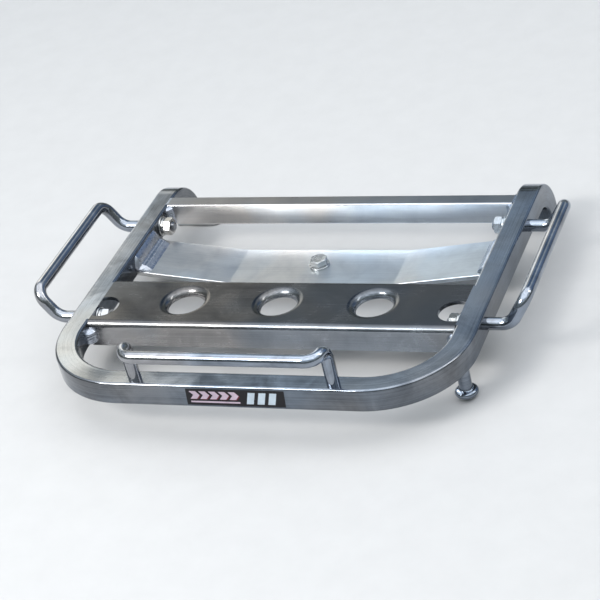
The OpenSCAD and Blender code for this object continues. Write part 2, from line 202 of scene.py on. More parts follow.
def finish_piece(piece, name, material, nodes, sharp=32, bevel=0.0):
    """Makes the Blender object of a piece, with exact flats, and gives it to the frame."""
    mesh = bpy.data.meshes.new(name)
    mesh.from_pydata([row(p) for p in piece.points], [], piece.faces)
    flow = mesh.attributes.new("flow", "FLOAT_VECTOR", "POINT")
    flow.data.foreach_set("vector", [c for f in piece.flows for c in f])
    mesh.materials.append(material)
    obj = bpy.data.objects.new(name, mesh)
    bpy.context.scene.collection.objects.link(obj)
    bm = bmesh.new()
    bm.from_mesh(mesh)
    bmesh.ops.recalc_face_normals(bm, faces=bm.faces)
    bm.to_mesh(mesh)
    bm.free()
    for polygon in mesh.polygons:
        polygon.use_smooth = True
    mesh.set_sharp_from_angle(angle=math.radians(sharp))
    if bevel:
        edges = obj.modifiers.new("edges", "BEVEL")
        edges.width, edges.segments, edges.limit_method = bevel / MM_PER_M, 3, "ANGLE"
        edges.angle_limit = math.radians(BEVEL_ANGLE)
        edges.harden_normals = True
    flats = obj.modifiers.new("flats", "WEIGHTED_NORMAL")
    flats.keep_sharp, flats.weight, flats.mode = True, 80, "FACE_AREA"
    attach(obj, "root")
    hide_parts(*nodes)


# ---- shapes ----


def sweep(piece, stations, section, skip=None):
    """Carries a section along stations (centre, side, up, distance). Skip(i, j) leaves out a face."""
    rings = []
    for centre, side, up, s in stations:
        rings.append([piece.vertex(centre + side * a + up * b, (s, a, b)) for a, b in section])
    for i in range(len(rings) - 1):
        for j in range(len(section)):
            if not (skip and skip(i, j)):
                k = (j + 1) % len(section)
                piece.face([rings[i][j], rings[i][k], rings[i + 1][k], rings[i + 1][j]])
    piece.caps(rings)


def bar_path(points, radii, step=math.radians(5)):
    """Stations of a bar through the points, bent to the radii, with a section frame that doesn't twist."""
    points = [Vector(p) for p in points]
    places, tangents = [points[0]], [(points[1] - points[0]).normalized()]
    for i in range(1, len(points) - 1):
        u = (points[i] - points[i - 1]).normalized()
        v = (points[i + 1] - points[i]).normalized()
        angle = u.angle(v)
        inward = (v - u * v.dot(u)).normalized()
        centre = points[i] - u * radii[i] * math.tan(angle / 2) + inward * radii[i]
        count = max(2, round(angle / step))
        for k in range(count + 1):
            t = angle * k / count
            places.append(centre + (u * math.sin(t) - inward * math.cos(t)) * radii[i])
            tangents.append((u * math.cos(t) + inward * math.sin(t)).normalized())
    places.append(points[-1])
    tangents.append((points[-1] - points[-2]).normalized())
    side = tangents[0].orthogonal().normalized()
    stations, s = [], 0.0
    for i, (p, t) in enumerate(zip(places, tangents)):
        if i:
            s += (p - places[i - 1]).length
            side = (tangents[i - 1].rotation_difference(t) @ side).normalized()
        stations.append((p, side, t.cross(side), s))
    return stations


def rod(piece, points, radii):
    """A round bar through the points."""
    sweep(piece, bar_path(points, radii), circle(0, 0, ROD_R, 40))


def square_to(axis):
    """The direction as a unit vector, with two more at right angles to it and to each other."""
    axis = Vector(axis).normalized()
    side = axis.orthogonal().normalized()
    return axis, side, axis.cross(side)


def lathe(piece, profile, base, axis, n, closed=False, angle=360):
    """Turns a profile of (radius, height) round an axis, by an angle in degrees, or round into a ring."""
    axis, side, up = square_to(axis)
    base = Vector(base)
    whole = angle == 360
    flow_per_turn = 0.02
    rings = []
    for k in range(n if whole else n + 1):
        t = math.radians(angle) * k / n
        out = side * math.cos(t) + up * math.sin(t)
        across = t * flow_per_turn
        rings.append([piece.vertex(base + axis * h + out * r, (across * r, r, h)) for r, h in profile])
    piece.rings(rings, close_ring=closed, close_chain=whole)
    if not whole:
        piece.caps(rings)


def thread(piece, base, axis, length):
    """An outside thread with a chamfered tip."""
    axis, side, up = square_to(axis)
    base = Vector(base)
    sides, rings_per_pitch = 40, 8
    tip_l, tip_slope = 0.75, 0.9
    flank, crest = 1.25, 0.12
    steps = int(length / THREAD_PITCH * rings_per_pitch)
    rings = []
    for k in range(steps + 1):
        h = length * k / steps
        tip = max(0.0, tip_l - (length - h)) * tip_slope
        ring = []
        for j in range(sides):
            t = WHOLE * j / sides
            wave = abs(((h / THREAD_PITCH - j / sides) % 1) * 2 - 1)
            groove = THREAD_DEPTH * min(1.0, max(0.0, wave * flank - crest))
            r = THREAD_R - THREAD_GAP - max(groove, tip)
            out = side * math.cos(t) + up * math.sin(t)
            ring.append(piece.vertex(base + axis * h + out * r, (h, r, 0)))
        rings.append(ring)
    piece.rings(rings)
    piece.face(rings[-1][::-1])


def hexagon(piece, base, axis, height, bore=0.0, turn=0.0):
    """A chamfered hexagon that stands along axis on its base, turned by an angle. A nut has a bore."""
    axis, side, _ = square_to(axis)
    side = Matrix.Rotation(turn, 3, axis) @ side
    up = axis.cross(side)
    base = Vector(base)
    flat_r, sixth = HEX_AF / 2, math.pi / 3
    face_r = flat_r * HEX_FACE
    dish_r, dish = face_r - 1.2, height - 0.12
    under_chamfer = 0.3
    n = 72
    rings = []
    for k in range(n):
        t = WHOLE * k / n
        r = flat_r / math.cos(((t + sixth / 2) % sixth) - sixth / 2)
        drop = (r - face_r) * math.tan(math.radians(HEX_CHAMFER))
        if bore:
            lead_r = bore + BORE_LEAD
            profile = [(bore, BORE_LEAD), (lead_r, 0), (face_r, 0), (r, drop)]
            profile += [(q, height - h) for q, h in reversed(profile)]
        else:
            profile = [(0, 0), (face_r, 0), (r, drop * under_chamfer), (r, height - drop)]
            profile += [(face_r, height), (dish_r, dish), (0, dish)]
        out = side * math.cos(t) + up * math.sin(t)
        rings.append([piece.vertex(base + axis * h + out * q, (q, h, t * 0.1)) for q, h in profile])
    piece.rings(rings, close_ring=bool(bore), close_chain=True)


def washer(piece, base, axis, inner, outer, t):
    """A flat washer with a rounded rim, a burr on its underside's bore and a broken edge on the other."""
    burr, broken = 0.1, 0.3
    rim_x = outer - WASHER_ROUND
    profile = [(inner, burr), (inner + burr, 0)]
    profile += arc(rim_x, WASHER_ROUND, WASHER_ROUND, -90, 0, 4)
    profile += arc(rim_x, t - WASHER_ROUND, WASHER_ROUND, 0, 90, 4)
    profile += [(inner + broken, t), (inner, t - broken)]
    lathe(piece, profile, base, axis, 64, closed=True)


def bead(piece, start, end, wall, floor, leg, seed, ripple=1.7, swell=0.05, ridge=0.0, hollow=0.20,
         wander=0.07):
    """A fillet weld from start to end, in a corner given by the directions along its wall and its floor.

    Ripple is the spacing of its ripples. Swell is how high they stand, hollow how far the face sinks, ridge
    how far a fine crest stands out near the floor and wander how much the size drifts, in shares of the leg.
    """
    start, end = Vector(start), Vector(end)
    wall, floor = Vector(wall).normalized(), Vector(floor).normalized()
    along = end - start
    length = along.length
    along.normalize()
    step, sides = 0.3, 24
    full, end_size, end_l = 0.97, 0.22, min(max(1.6, 0.4 * leg), length / 3)
    crest_at, crest_w, ripple_lag, ripple_drift = 0.42, 0.13, 0.28, 0.35
    steps = max(8, int(length / step))
    rings = []
    for k in range(steps + 1):
        s = length * k / steps
        edge = min(1.0, end_size + (1 - end_size) * math.sqrt(min(s, length - s) / end_l))
        phase = (s / ripple + ripple_drift * noise.noise(Vector((s * 0.2, seed, 0)))) % 1
        size = edge * (1 + wander * noise.noise(Vector((s * 0.25, seed * 3.1, 5))))
        ring = []
        for j in range(sides + 1):
            t = math.pi / 2 * j / sides
            bow = math.sin(2 * t)
            lag = (phase - ripple_lag * bow) % 1
            crest = ridge * math.exp(-((t - crest_at) / crest_w) ** 2)
            wave = swell * bow * (0.5 + 0.5 * math.cos(WHOLE * lag))
            reach = leg * size * (full - hollow * bow + crest + wave)
            p = start + along * s + (floor * math.cos(t) + wall * math.sin(t)) * reach
            ring.append(piece.vertex(p, (s, t * leg, 0)))
        ring.append(piece.vertex(start + along * s, (s, 0, -1)))
        rings.append(ring)
    piece.rings(rings)
    piece.caps(rings)


# ---- materials ----


class Nodes:
    """Short calls for building a node tree."""

    def __init__(self, tree):
        self.tree = tree
        self.shader = tree.nodes.get("Principled BSDF")

    def add(self, kind, **settings):
        node = self.tree.nodes.new(kind)
        for key, value in settings.items():
            setattr(node, key, value)
        return node

    def link(self, a, b):
        self.tree.links.new(a, b)

    def mapped(self, place, scale, turn=(0, 0, 0)):
        """A place, scaled per metre and turned by degrees."""
        m = self.add("ShaderNodeMapping")
        m.inputs["Scale"].default_value = scale
        m.inputs["Rotation"].default_value = [math.radians(a) for a in turn]
        self.link(place, m.inputs["Vector"])
        return m.outputs["Vector"]

    def flow(self, scale, turn=(0, 0, 0)):
        """The place along and across the stock."""
        place = self.add("ShaderNodeAttribute", attribute_name="flow")
        return self.mapped(place.outputs["Vector"], scale, turn)

    def space(self, scale):
        """The place on the object."""
        return self.mapped(self.add("ShaderNodeTexCoord").outputs["Object"], (scale, scale, scale))

    def noise(self, vector, detail, rough, distortion=0.0, scale=1.0, phase=None):
        n = self.add("ShaderNodeTexNoise", noise_dimensions="3D" if phase is None else "4D")
        n.inputs["Scale"].default_value = scale
        n.inputs["Detail"].default_value = detail
        n.inputs["Roughness"].default_value = rough
        n.inputs["Distortion"].default_value = distortion
        if phase is not None:
            n.inputs["W"].default_value = phase
        self.link(vector, n.inputs["Vector"])
        return n.outputs["Fac"]

    def remap(self, value, low, high, to_low, to_high):
        m = self.add("ShaderNodeMapRange")
        m.inputs["From Min"].default_value = low
        m.inputs["From Max"].default_value = high
        m.inputs["To Min"].default_value = to_low
        m.inputs["To Max"].default_value = to_high
        self.link(value, m.inputs["Value"])
        return m.outputs["Result"]

    def math(self, operation, a, b):
        """A sum with a socket and with b, which is a socket or a number."""
        m = self.add("ShaderNodeMath", operation=operation)
        self.link(a, m.inputs[0])
        if isinstance(b, (int, float)):
            m.inputs[1].default_value = b
        else:
            self.link(b, m.inputs[1])
        return m.outputs[0]

    def ramp(self, value, stops):
        r = self.add("ShaderNodeValToRGB")
        ends = r.color_ramp.elements
        for end, (place, color) in ((ends[0], stops[0]), (ends[1], stops[-1])):
            end.position, end.color = place, (*color, 1)
        for place, color in stops[1:-1]:
            ends.new(place).color = (*color, 1)
        self.link(value, r.inputs["Fac"])
        return r.outputs["Color"]

    def multiply(self, a, b):
        m = self.add("ShaderNodeVectorMath", operation="MULTIPLY")
        self.link(a, m.inputs[0])
        self.link(b, m.inputs[1])
        return m.outputs["Vector"]

    def scale(self, vector, by):
        m = self.add("ShaderNodeVectorMath", operation="SCALE")
        self.link(vector, m.inputs[0])
        self.link(by, m.inputs["Scale"])
        return m.outputs["Vector"]

    def bump(self, height, strength, distance, before=None):
        b = self.add("ShaderNodeBump")
        b.inputs["Strength"].default_value = strength
        b.inputs["Distance"].default_value = distance
        self.link(height, b.inputs["Height"])
        if before:
            self.link(before, b.inputs["Normal"])
        return b.outputs["Normal"]


def new_material(name):
    material = bpy.data.materials.new(name)
    material.use_nodes = True
    return material, Nodes(material.node_tree)


LINE_SHARE, CLOUD_SHARE, TONE_SPAN = 0.38, 0.62, (0.36, 0.62)
SCRATCH_SETS = (((60, 2600, 2600), (0, 0, 17), 0.70), ((50, 3100, 3100), (0, 21, -12), 0.71))
SCRATCH_EDGE, SCRATCH_ROUGH, LINE_ROUGH = 0.08, 0.10, 0.04
# normal heights between which upward faces take painted light or painted shade
FACING_SPAN = (0.3, 0.97)
STAIN, STAIN_SPAN, STAIN_TINT = 11, (0.40, 0.60), 0.06
WAVE, PIT_RATIO = 16, 14
GRAIN_RELIEF, SCRATCH_RELIEF, PIT_RELIEF = 0.00003, 0.00001, 0.0002


def metal(name, dark, light, rough, rough_swing, grain, grain_depth, smudge=28.0, pits=0.0, scratches=0.25,
          waviness=0.002, top=1.0):
    """Bare metal with drawing lines along its flow, cloudy smudges, fine scratches and, if asked, pits.

    Its tone runs from dark to light. Grain is how close its lines are, per metre, and smudge how close its
    smudges are. Faces that look up have their tone multiplied by top: painted light above 1, painted shade
    below 1.
    """
    material, n = new_material(name)
    n.shader.inputs["Metallic"].default_value = 1.0
    lines = n.noise(n.flow(grain), 4.0, 0.6)
    cloud = n.noise(n.space(smudge), 5.0, 0.62, 0.6)
    marks = [
        n.remap(n.noise(n.flow(scale, turn), 1.0, 0.5), low, low + SCRATCH_EDGE, 0, 1)
        for scale, turn, low in SCRATCH_SETS
    ]
    marks = n.math("MAXIMUM", *marks)

    tone = n.math("ADD", n.math("MULTIPLY", cloud, CLOUD_SHARE), n.math("MULTIPLY", lines, LINE_SHARE))
    color = n.ramp(tone, [(TONE_SPAN[0], dark), (TONE_SPAN[1], light)])
    # painted light and painted shade: the tone is scaled by how far each face looks up, standing in for how
    # light falls on it
    facing = n.add("ShaderNodeSeparateXYZ")
    n.link(n.add("ShaderNodeNewGeometry").outputs["Normal"], facing.inputs[0])
    painted_facing_light_and_shade = n.remap(facing.outputs["Z"], *FACING_SPAN, 1.0, top)
    warm = (1 + STAIN_TINT, 1, 1 - STAIN_TINT)
    cool = (1 - STAIN_TINT, 1, 1 + STAIN_TINT)
    stain = n.ramp(n.noise(n.space(STAIN), 2.0, 0.5), [(STAIN_SPAN[0], warm), (STAIN_SPAN[1], cool)])
    n.link(n.scale(n.multiply(color, stain), painted_facing_light_and_shade), n.shader.inputs["Base Color"])

    by_cloud = n.remap(cloud, 0.35, 0.68, -rough_swing, rough_swing)
    by_line = n.remap(lines, 0.3, 0.7, -LINE_ROUGH, LINE_ROUGH)
    by_mark = n.math("MULTIPLY", marks, SCRATCH_ROUGH * scratches)
    swing = n.math("ADD", n.math("ADD", by_cloud, by_line), by_mark)
    n.link(n.math("ADD", swing, rough), n.shader.inputs["Roughness"])

    normal = n.bump(n.noise(n.space(WAVE), 1.0, 0.4), 0.5, waviness)
    normal = n.bump(lines, grain_depth, GRAIN_RELIEF, normal)
    normal = n.bump(marks, scratches, SCRATCH_RELIEF, normal)
    if pits:
        normal = n.bump(n.noise(n.space(smudge * PIT_RATIO), 4.0, 0.7), pits, PIT_RELIEF, normal)
    n.link(normal, n.shader.inputs["Normal"])
    return material


def film(name, color, rough):
    """Printed film with a slight haze and an uneven surface."""
    material, n = new_material(name)
    haze = n.noise(n.space(90), 4.0, 0.6)
    darker = tuple(c * 0.82 for c in color)
    n.link(n.ramp(haze, [(0.35, darker), (0.65, color)]), n.shader.inputs["Base Color"])
    n.link(n.remap(haze, 0.3, 0.7, rough - 0.05, rough + 0.07), n.shader.inputs["Roughness"])
    n.shader.inputs["Specular IOR Level"].default_value = 0.3
    n.link(n.bump(n.noise(n.space(700), 2.0, 0.5), 0.15, 0.00005), n.shader.inputs["Normal"])
    return material


# Dark base: partly the polished tube's own tone, partly painted shade that darkens the floor it reflects;
# top=1.75 paints light onto its upward faces.
polished = metal("polished_aluminium", dark=(0.085, 0.096, 0.112), light=(0.215, 0.235, 0.265),
                 rough=0.15, rough_swing=0.06, grain=(9, 1500, 1500), grain_depth=0.30,
                 waviness=0.0035, top=1.75)
# top=0.30 paints shade onto the load plate's upward faces.
pressed = metal("pressed_aluminium", dark=(0.27, 0.28, 0.295), light=(0.43, 0.44, 0.46),
                rough=0.23, rough_swing=0.07, grain=(9, 1500, 1500), grain_depth=0.30,
                waviness=0.0035, top=0.30)
# Light base: painted light that brightens the crossbar's front, which reflects shaded floor; top=0.34 paints
# shade onto its upward faces.
bright = metal("bright_aluminium", dark=(0.78, 0.80, 0.84), light=(0.93, 0.94, 0.96),
               rough=0.33, rough_swing=0.03, grain=(9, 1400, 1400), grain_depth=0.35,
               scratches=0.08, top=0.34)
mill = metal("mill_aluminium", dark=(0.46, 0.49, 0.525), light=(0.60, 0.63, 0.65),
             rough=0.34, rough_swing=0.03, grain=(10, 1100, 1100), grain_depth=0.6,
             smudge=45.0, pits=0.08, scratches=0.03)
# top=1.35 paints light onto the bars' upward faces.
bar = metal("polished_bar", dark=(0.17, 0.183, 0.205), light=(0.36, 0.385, 0.43),
            rough=0.13, rough_swing=0.05, grain=(12, 1300, 1300), grain_depth=0.20, top=1.35)
steel = metal("zinc_steel", dark=(0.44, 0.45, 0.45), light=(0.62, 0.64, 0.66),
              rough=0.25, rough_swing=0.07, grain=(300, 1800, 1800), grain_depth=0.25,
              smudge=120.0, pits=0.06)
weld = metal("weld_metal", dark=(0.39, 0.43, 0.50), light=(0.50, 0.54, 0.62),
             rough=0.28, rough_swing=0.04, grain=(300, 500, 500), grain_depth=0.10,
             smudge=60.0, pits=0.02, scratches=0.0)
film_black = film("label_black", (0.006, 0.006, 0.009), 0.30)
film_lilac = film("label_lilac", (0.58, 0.47, 0.57), 0.34)
film_sky = film("label_sky", (0.58, 0.68, 0.77), 0.34)
film_red = film("label_red", (0.13, 0.012, 0.025), 0.34)

# ---- rim ----


def rim_stations():
    """Stations of the tube's middle, from the right turned-down end round the tail to the left one."""
    mid_x, mid_r = RAIL_OUT - TUBE_W / 2, CORNER_R - TUBE_W / 2
    drop = DROP_R - TUBE_H / 2
    half = []
    for k in range(BEND_STEPS + 1):
        t = math.pi / 2 * (1 - k / BEND_STEPS)
        s, c = math.sin(t), math.cos(t)
        half.append(((mid_x, DECK_L + drop * s, -DROP_R + drop * c), (1, 0, 0), (0, s, c)))
    for y in RAIL_YS:
        half.append(((mid_x, y, MID_Z), (1, 0, 0), (0, 0, 1)))
    for k in range(BEND_STEPS + 1):
        t = math.pi / 2 * k / BEND_STEPS
        s, c = math.sin(t), math.cos(t)
        half.append(((RAIL_OUT - CORNER_R + mid_r * c, CORNER_R - mid_r * s, MID_Z), (c, -s, 0), (0, 0, 1)))
    mirrored = [((-p[0], p[1], p[2]), (-side[0], side[1], side[2]), up) for p, side, up in reversed(half)]
    out, s, before = [], 0.0, None
    for centre, side, up in half + mirrored:
        centre = Vector(centre)
        if before is not None:
            s += (centre - before).length
        before = centre
        out.append((centre, Vector(side), Vector(up), s))
    return out


def rim():
    """The bent tube. The tail span's bottom wall is open to the inside through two access holes."""
    piece = Piece()
    section = rounded_rect(TUBE_W, TUBE_H, EDGE_R, 8)
    stations = rim_stations()
    tail = len(stations) // 2 - 1
    tail_s = stations[tail][3]
    low = [abs(b + TUBE_H / 2) < 1e-6 for a, b in section]
    under = next(j for j in range(len(section)) if low[j] and low[(j + 1) % len(section)])
    sweep(piece, stations, section, skip=lambda i, j: i == tail and j == under)
    span = RAIL_OUT - CORNER_R
    outline = [(-span, EDGE_R), (span, EDGE_R), (span, TUBE_W - EDGE_R), (-span, TUBE_W - EDGE_R)]
    ports = [circle(sx * POST_X, POST_Y, ACCESS_R, 48) for sx in (-1, 1)]
    bottom, floor_z, roof_z = -TUBE_H, -TUBE_H + TUBE_T, -TUBE_T

    def loop(flat_loop, z):
        return [piece.vertex((x, y, z), (x, y, z)) for x, y in flat_loop]

    for z in (bottom, floor_z):
        piece.flat(outline, ports, lambda p, z=z: (p[0], p[1], z), lambda p: (tail_s + span - p[0], p[1], 0))
    for port in ports:
        piece.rings([loop(port, bottom), loop(port, floor_z)])
    roof = loop(outline, roof_z)
    piece.rings([loop(outline, floor_z), roof])
    piece.face(roof)
    finish_piece(piece, "rim_tube_drawn", polished, ["rim_tube"])


# ---- load plate ----


def fold(piece, edge_y, way, depth):
    """The folded edge at edge_y, which turns down towards way."""
    r = FLANGE_ROUND
    outer = arc(FOLD_R, -FOLD_R, FOLD_R, 90, 180, 10)
    inner = arc(FOLD_R, -FOLD_R, FOLD_R - PLATE_T, 90, 180, 6)
    tip = [(0, r), (r * 0.3, r * 0.3), (r, 0), (PLATE_T - r, 0), (PLATE_T, r)]
    tip = [(u, z - depth) for u, z in tip]
    profile = [(edge_y + way * u, z) for u, z in outer + tip + inner[::-1]]
    ends = []
    for x in (-RAIL_IN, RAIL_IN):
        ring, along = [], 0.0
        for k, (y, z) in enumerate(profile):
            if k:
                along += math.dist(profile[k - 1], (y, z))
            ring.append(piece.vertex((x, y, z), (x, along, 0)))
        ends.append(ring)
    piece.rings(ends, close_ring=False)
    for ring in ends:
        piece.face(ring)


def dimple(piece, x, y):
    """The lip of a hole, which turns down all round."""
    mouth_r = HOLE_R + LIP_R
    lip = arc(mouth_r, -LIP_R, LIP_R, 90, 180, 10)
    back = arc(mouth_r, -LIP_R, LIP_R - PLATE_T, 90, 180, 6)
    low_z = -LIP_R - LIP_DROP
    foot = [(HOLE_R + FLANGE_ROUND, low_z), (HOLE_R + PLATE_T - FLANGE_ROUND, low_z)]
    rings = []
    for r, z in lip + foot + back[::-1]:
        rings.append([piece.vertex((px, py, z), (px, py, z)) for px, py in circle(x, y, r, 72)])
    piece.rings(rings)


def load_plate():
    piece = Piece()
    bite = math.degrees(math.acos((RAIL_IN - NOTCH_X) / NOTCH_R))
    notch = arc(NOTCH_X, NOTCH_Y, NOTCH_R, 360 - bite, bite, 40)
    right_side = [(RAIL_IN, PLATE_FLAT[0])] + notch + [(RAIL_IN, PLATE_FLAT[1])]
    outline = right_side + [(-x, y) for x, y in reversed(right_side)]
    hole_xs = [i * HOLE_PITCH for i in (-1, 0, 1)]
    mouths = [circle(x, HOLE_Y, HOLE_R + LIP_R, 72) for x in hole_xs]
    for z in (0, -PLATE_T):
        piece.flat(outline, mouths, lambda p, z=z: (p[0], p[1], z), lambda p, z=z: (p[0], p[1], z))
    for x in hole_xs:
        dimple(piece, x, HOLE_Y)
    for sign in (1, -1):
        walls = [[piece.vertex((sign * x, y, z), (x, y, z)) for x, y in right_side] for z in (0, -PLATE_T)]
        piece.rings(walls, close_ring=False)
    fold(piece, PLATE_Y, 1, FRONT_FLANGE)
    fold(piece, PLATE_Y + PLATE_L, -1, REAR_FLANGE)
    finish_piece(piece, "load_plate_pressed", pressed, ["load_plate"], sharp=40)


# ---- crossbar and bracket ----


def crossbar():
    piece = Piece()
    middle_y = CROSS_Y + CROSS_W / 2
    stations = [(Vector((x, middle_y, MID_Z)), Vector((0, 1, 0)), Z, x) for x in (-RAIL_IN, RAIL_IN)]
    sweep(piece, stations, rounded_rect(CROSS_W, TUBE_H, CROSS_EDGE_R, 6))
    finish_piece(piece, "crossbar_tube", bright, ["crossbar"])


def bracket_stations():
    """The flat bar's centre line, with its two bends rounded and its ends cut square to X."""
    slope = math.atan2(BRACKET_END_Z - BRACKET_Z, RAIL_IN - BRACKET_FLAT)
    back = BRACKET_BEND_R * math.tan(slope / 2)
    steps = 8
    half = [(0.0, 0.0, 0.0)]
    for k in range(steps + 1):
        a = slope * k / steps
        x = BRACKET_FLAT - back + BRACKET_BEND_R * math.sin(a)
        half.append((x, BRACKET_BEND_R * (1 - math.cos(a)), a))
    half.append((RAIL_IN, (RAIL_IN - BRACKET_FLAT) * math.tan(slope), slope))
    mid_z = BRACKET_Z - BRACKET_T / 2
    out = []
    for x, h, a in [(-x, h, -a) for x, h, a in reversed(half[1:])] + half:
        tilt = a if abs(x) < RAIL_IN else 0.0
        up = Vector((-math.sin(tilt), 0, math.cos(tilt)))
        out.append((Vector((x, BRACKET_Y, mid_z + h)), Vector((0, 1, 0)), up, x))
    return out


def lower_bracket():
    piece = Piece()
    sweep(piece, bracket_stations(), rounded_rect(BRACKET_W, BRACKET_T, BRACKET_EDGE_R, 4))
    finish_piece(piece, "lower_bracket_bar", mill, ["lower_bracket"])


# ---- handles, hoop, hooks and feet ----


def handle(sign, side_name):
    """A bent bar with threaded ends inside the rail."""
    piece = Piece()
    knee_x = HANDLE_X - (HANDLE_Z - MID_Z) / math.tan(math.radians(HANDLE_SLOPE))
    y0, y1 = HANDLE_YS
    points = [(RAIL_OUT, y0, MID_Z), (knee_x, y0, MID_Z), (HANDLE_X, y0, HANDLE_Z),
              (HANDLE_X, y1, HANDLE_Z), (knee_x, y1, MID_Z), (RAIL_OUT, y1, MID_Z)]
    radii = [0, HANDLE_KNEE_R, HANDLE_CORNER_R, HANDLE_CORNER_R, HANDLE_KNEE_R, 0]
    rod(piece, [(sign * x, y, z) for x, y, z in points], radii)
    thread_x = sign * (RAIL_IN + THREAD_OVERLAP)
    for y in HANDLE_YS:
        thread(piece, (thread_x, y, MID_Z), (-sign, 0, 0), WASHER_T + SPRING_T + NUT_H + THREAD_PROUD)
    node = side_name + "_handle"
    finish_piece(piece, node + "_bar", bar, [node])


def tail_hoop():
    piece = Piece()
    bar_x = POST_X - HOOP_SWING
    points = [(-POST_X, POST_Y, 0), (-POST_X, POST_Y, HOOP_Z), (-bar_x, -HOOP_OUT, HOOP_Z),
              (bar_x, -HOOP_OUT, HOOP_Z), (POST_X, POST_Y, HOOP_Z), (POST_X, POST_Y, 0)]
    rod(piece, points, [0, POST_BEND_R, SWING_BEND_R, SWING_BEND_R, POST_BEND_R, 0])
    finish_piece(piece, "tail_hoop_bar", bar, ["tail_hoop"])


def rope_hook(sign, side_name):
    """A turned stud with a domed head, which hangs below the rim."""
    piece = Piece()
    head_z = HOOK_L - HOOK_HEAD_H
    neck_z = head_z - HOOK_NECK_R
    profile = [(0, 0), (ROD_R, 0), (ROD_R, neck_z)]
    profile += arc(ROD_R + HOOK_NECK_R, neck_z, HOOK_NECK_R, 180, 90, 5)[1:]
    profile += arc(HOOK_HEAD_R - HOOK_RIM_R, head_z + HOOK_RIM_R, HOOK_RIM_R, -90, 55, 12)
    edge_r, edge_z = profile[-1]

    def sag(r):
        return HOOK_DOME_R - math.sqrt(HOOK_DOME_R ** 2 - r ** 2)

    steps = 8
    for k in range(1, steps + 1):
        r = edge_r * (1 - k / steps)
        profile.append((r, edge_z + (HOOK_L - edge_z) * (1 - sag(r) / sag(edge_r))))
    lathe(piece, profile, (sign * HOOK_X, HOOK_Y, -TUBE_H), -Z, 56)
    node = side_name + "_rope_hook"
    finish_piece(piece, node + "_turned", bar, [node])


def foot(sign, side_name):
    """The tab inside a turned-down end, with its bolt hole."""
    piece = Piece()
    w = TUBE_H / 2
    edge = [(RAIL_OUT, -w), (RAIL_OUT, w)] + arc(FOOT_HOLE_X, 0, w, 90, 270, 32)
    hole = circle(FOOT_HOLE_X, 0, FOOT_HOLE_R, 48)

    def place(p, z):
        return (sign * p[0], p[1] + FOOT_Y, z - DECK_Z)

    for z in (0, FOOT_T):
        piece.flat(edge, [hole], lambda p, z=z: place(p, z), lambda p: (p[0], p[1], 0))
    for loop in (edge, hole):
        piece.rings([[piece.vertex(place(p, z), (*p, z)) for p in loop] for z in (0, FOOT_T)])
    node = side_name + "_foot"
    finish_piece(piece, node + "_plate", mill, [node], bevel=FOOT_BEVEL)


# ---- fasteners ----


def handle_fasteners():
    """A washer, a split spring washer and a nut on each of the handles' four ends."""
    nuts, springs, washers = Piece(), Piece(), Piece()
    turns = (0.35, 1.0, 0.15, 0.7)
    rim_cut, lift = 0.3, 0.05
    half_profile = [(SPRING_IN, lift), (SPRING_OUT - rim_cut, lift), (SPRING_OUT, rim_cut + lift)]
    profile = half_profile + [(r, SPRING_T - h) for r, h in reversed(half_profile)]
    for turn, (sign, y) in zip(turns, [(sx, y) for sx in (1, -1) for y in HANDLE_YS]):
        axis = Vector((-sign, 0, 0))
        wall = Vector((sign * RAIL_IN, y, MID_Z))
        on_washer = wall + axis * WASHER_T
        washer(washers, wall, axis, WASHER_IN, WASHER_R, WASHER_T)
        lathe(springs, profile, on_washer, axis, 46, closed=True, angle=SPRING_TURN)
        hexagon(nuts, on_washer + axis * SPRING_T, axis, NUT_H, bore=BORE_R, turn=turn)
    finish_piece(washers, "handle_washers_turned", steel, ["handle_washers"])
    finish_piece(springs, "handle_spring_washers_coiled", steel, ["handle_spring_washers"])
    finish_piece(nuts, "handle_nuts_chamfered", steel, ["handle_nuts"], sharp=25)


def hoop_fasteners():
    """The cap screws and washers that hold the hoop from inside the tail rail."""
    screws, washers = Piece(), Piece()
    head_round, under_cut = 0.6, 0.1
    profile = [(0, SOCKET_FLOOR), (SOCKET_R - 0.3, SOCKET_FLOOR), (SOCKET_R, SOCKET_FLOOR + 0.2)]
    profile += [(SOCKET_R, SCREW_HEAD_H - 0.3), (SOCKET_R + 0.3, SCREW_HEAD_H)]
    profile += arc(SCREW_HEAD_R - head_round, SCREW_HEAD_H - head_round, head_round, 90, 0, 4)
    profile += [(SCREW_HEAD_R, under_cut), (SCREW_HEAD_R - under_cut, 0), (0, 0)]
    for sign in (1, -1):
        top = Vector((sign * POST_X, POST_Y, -TUBE_T))
        washer(washers, top, -Z, SCREW_WASHER_IN, SCREW_WASHER_R, SCREW_WASHER_T)
        lathe(screws, profile, top - Z * SCREW_WASHER_T, -Z, 60)
    finish_piece(washers, "hoop_washers_turned", steel, ["hoop_washers"])
    finish_piece(screws, "hoop_screws_turned", steel, ["hoop_screws"])


def centre_fasteners():
    """The bracket's bolt and its washer."""
    seat = Vector((0, BOLT_Y, BRACKET_Z))
    ring = Piece()
    washer(ring, seat, Z, WASHER_IN, WASHER_R, WASHER_T)
    finish_piece(ring, "centre_washer_turned", steel, ["centre_washer"])

    bolt = Piece()
    hexagon(bolt, seat + Z * WASHER_T, Z, HEAD_H, turn=0.5)
    thread_top = seat - Z * (BRACKET_T + BOLT_SHANK_FREE)
    shank_top = (seat - thread_top).z + WASHER_T + THREAD_OVERLAP
    shank = [(BOLT_SHANK_R, -THREAD_OVERLAP), (BOLT_SHANK_R, shank_top)]
    lathe(bolt, shank, thread_top, Z, 40)
    thread(bolt, thread_top, -Z, BOLT_THREAD_L)
    finish_piece(bolt, "centre_bolt_headed", steel, ["centre_bolt"], sharp=25)


# ---- welds ----


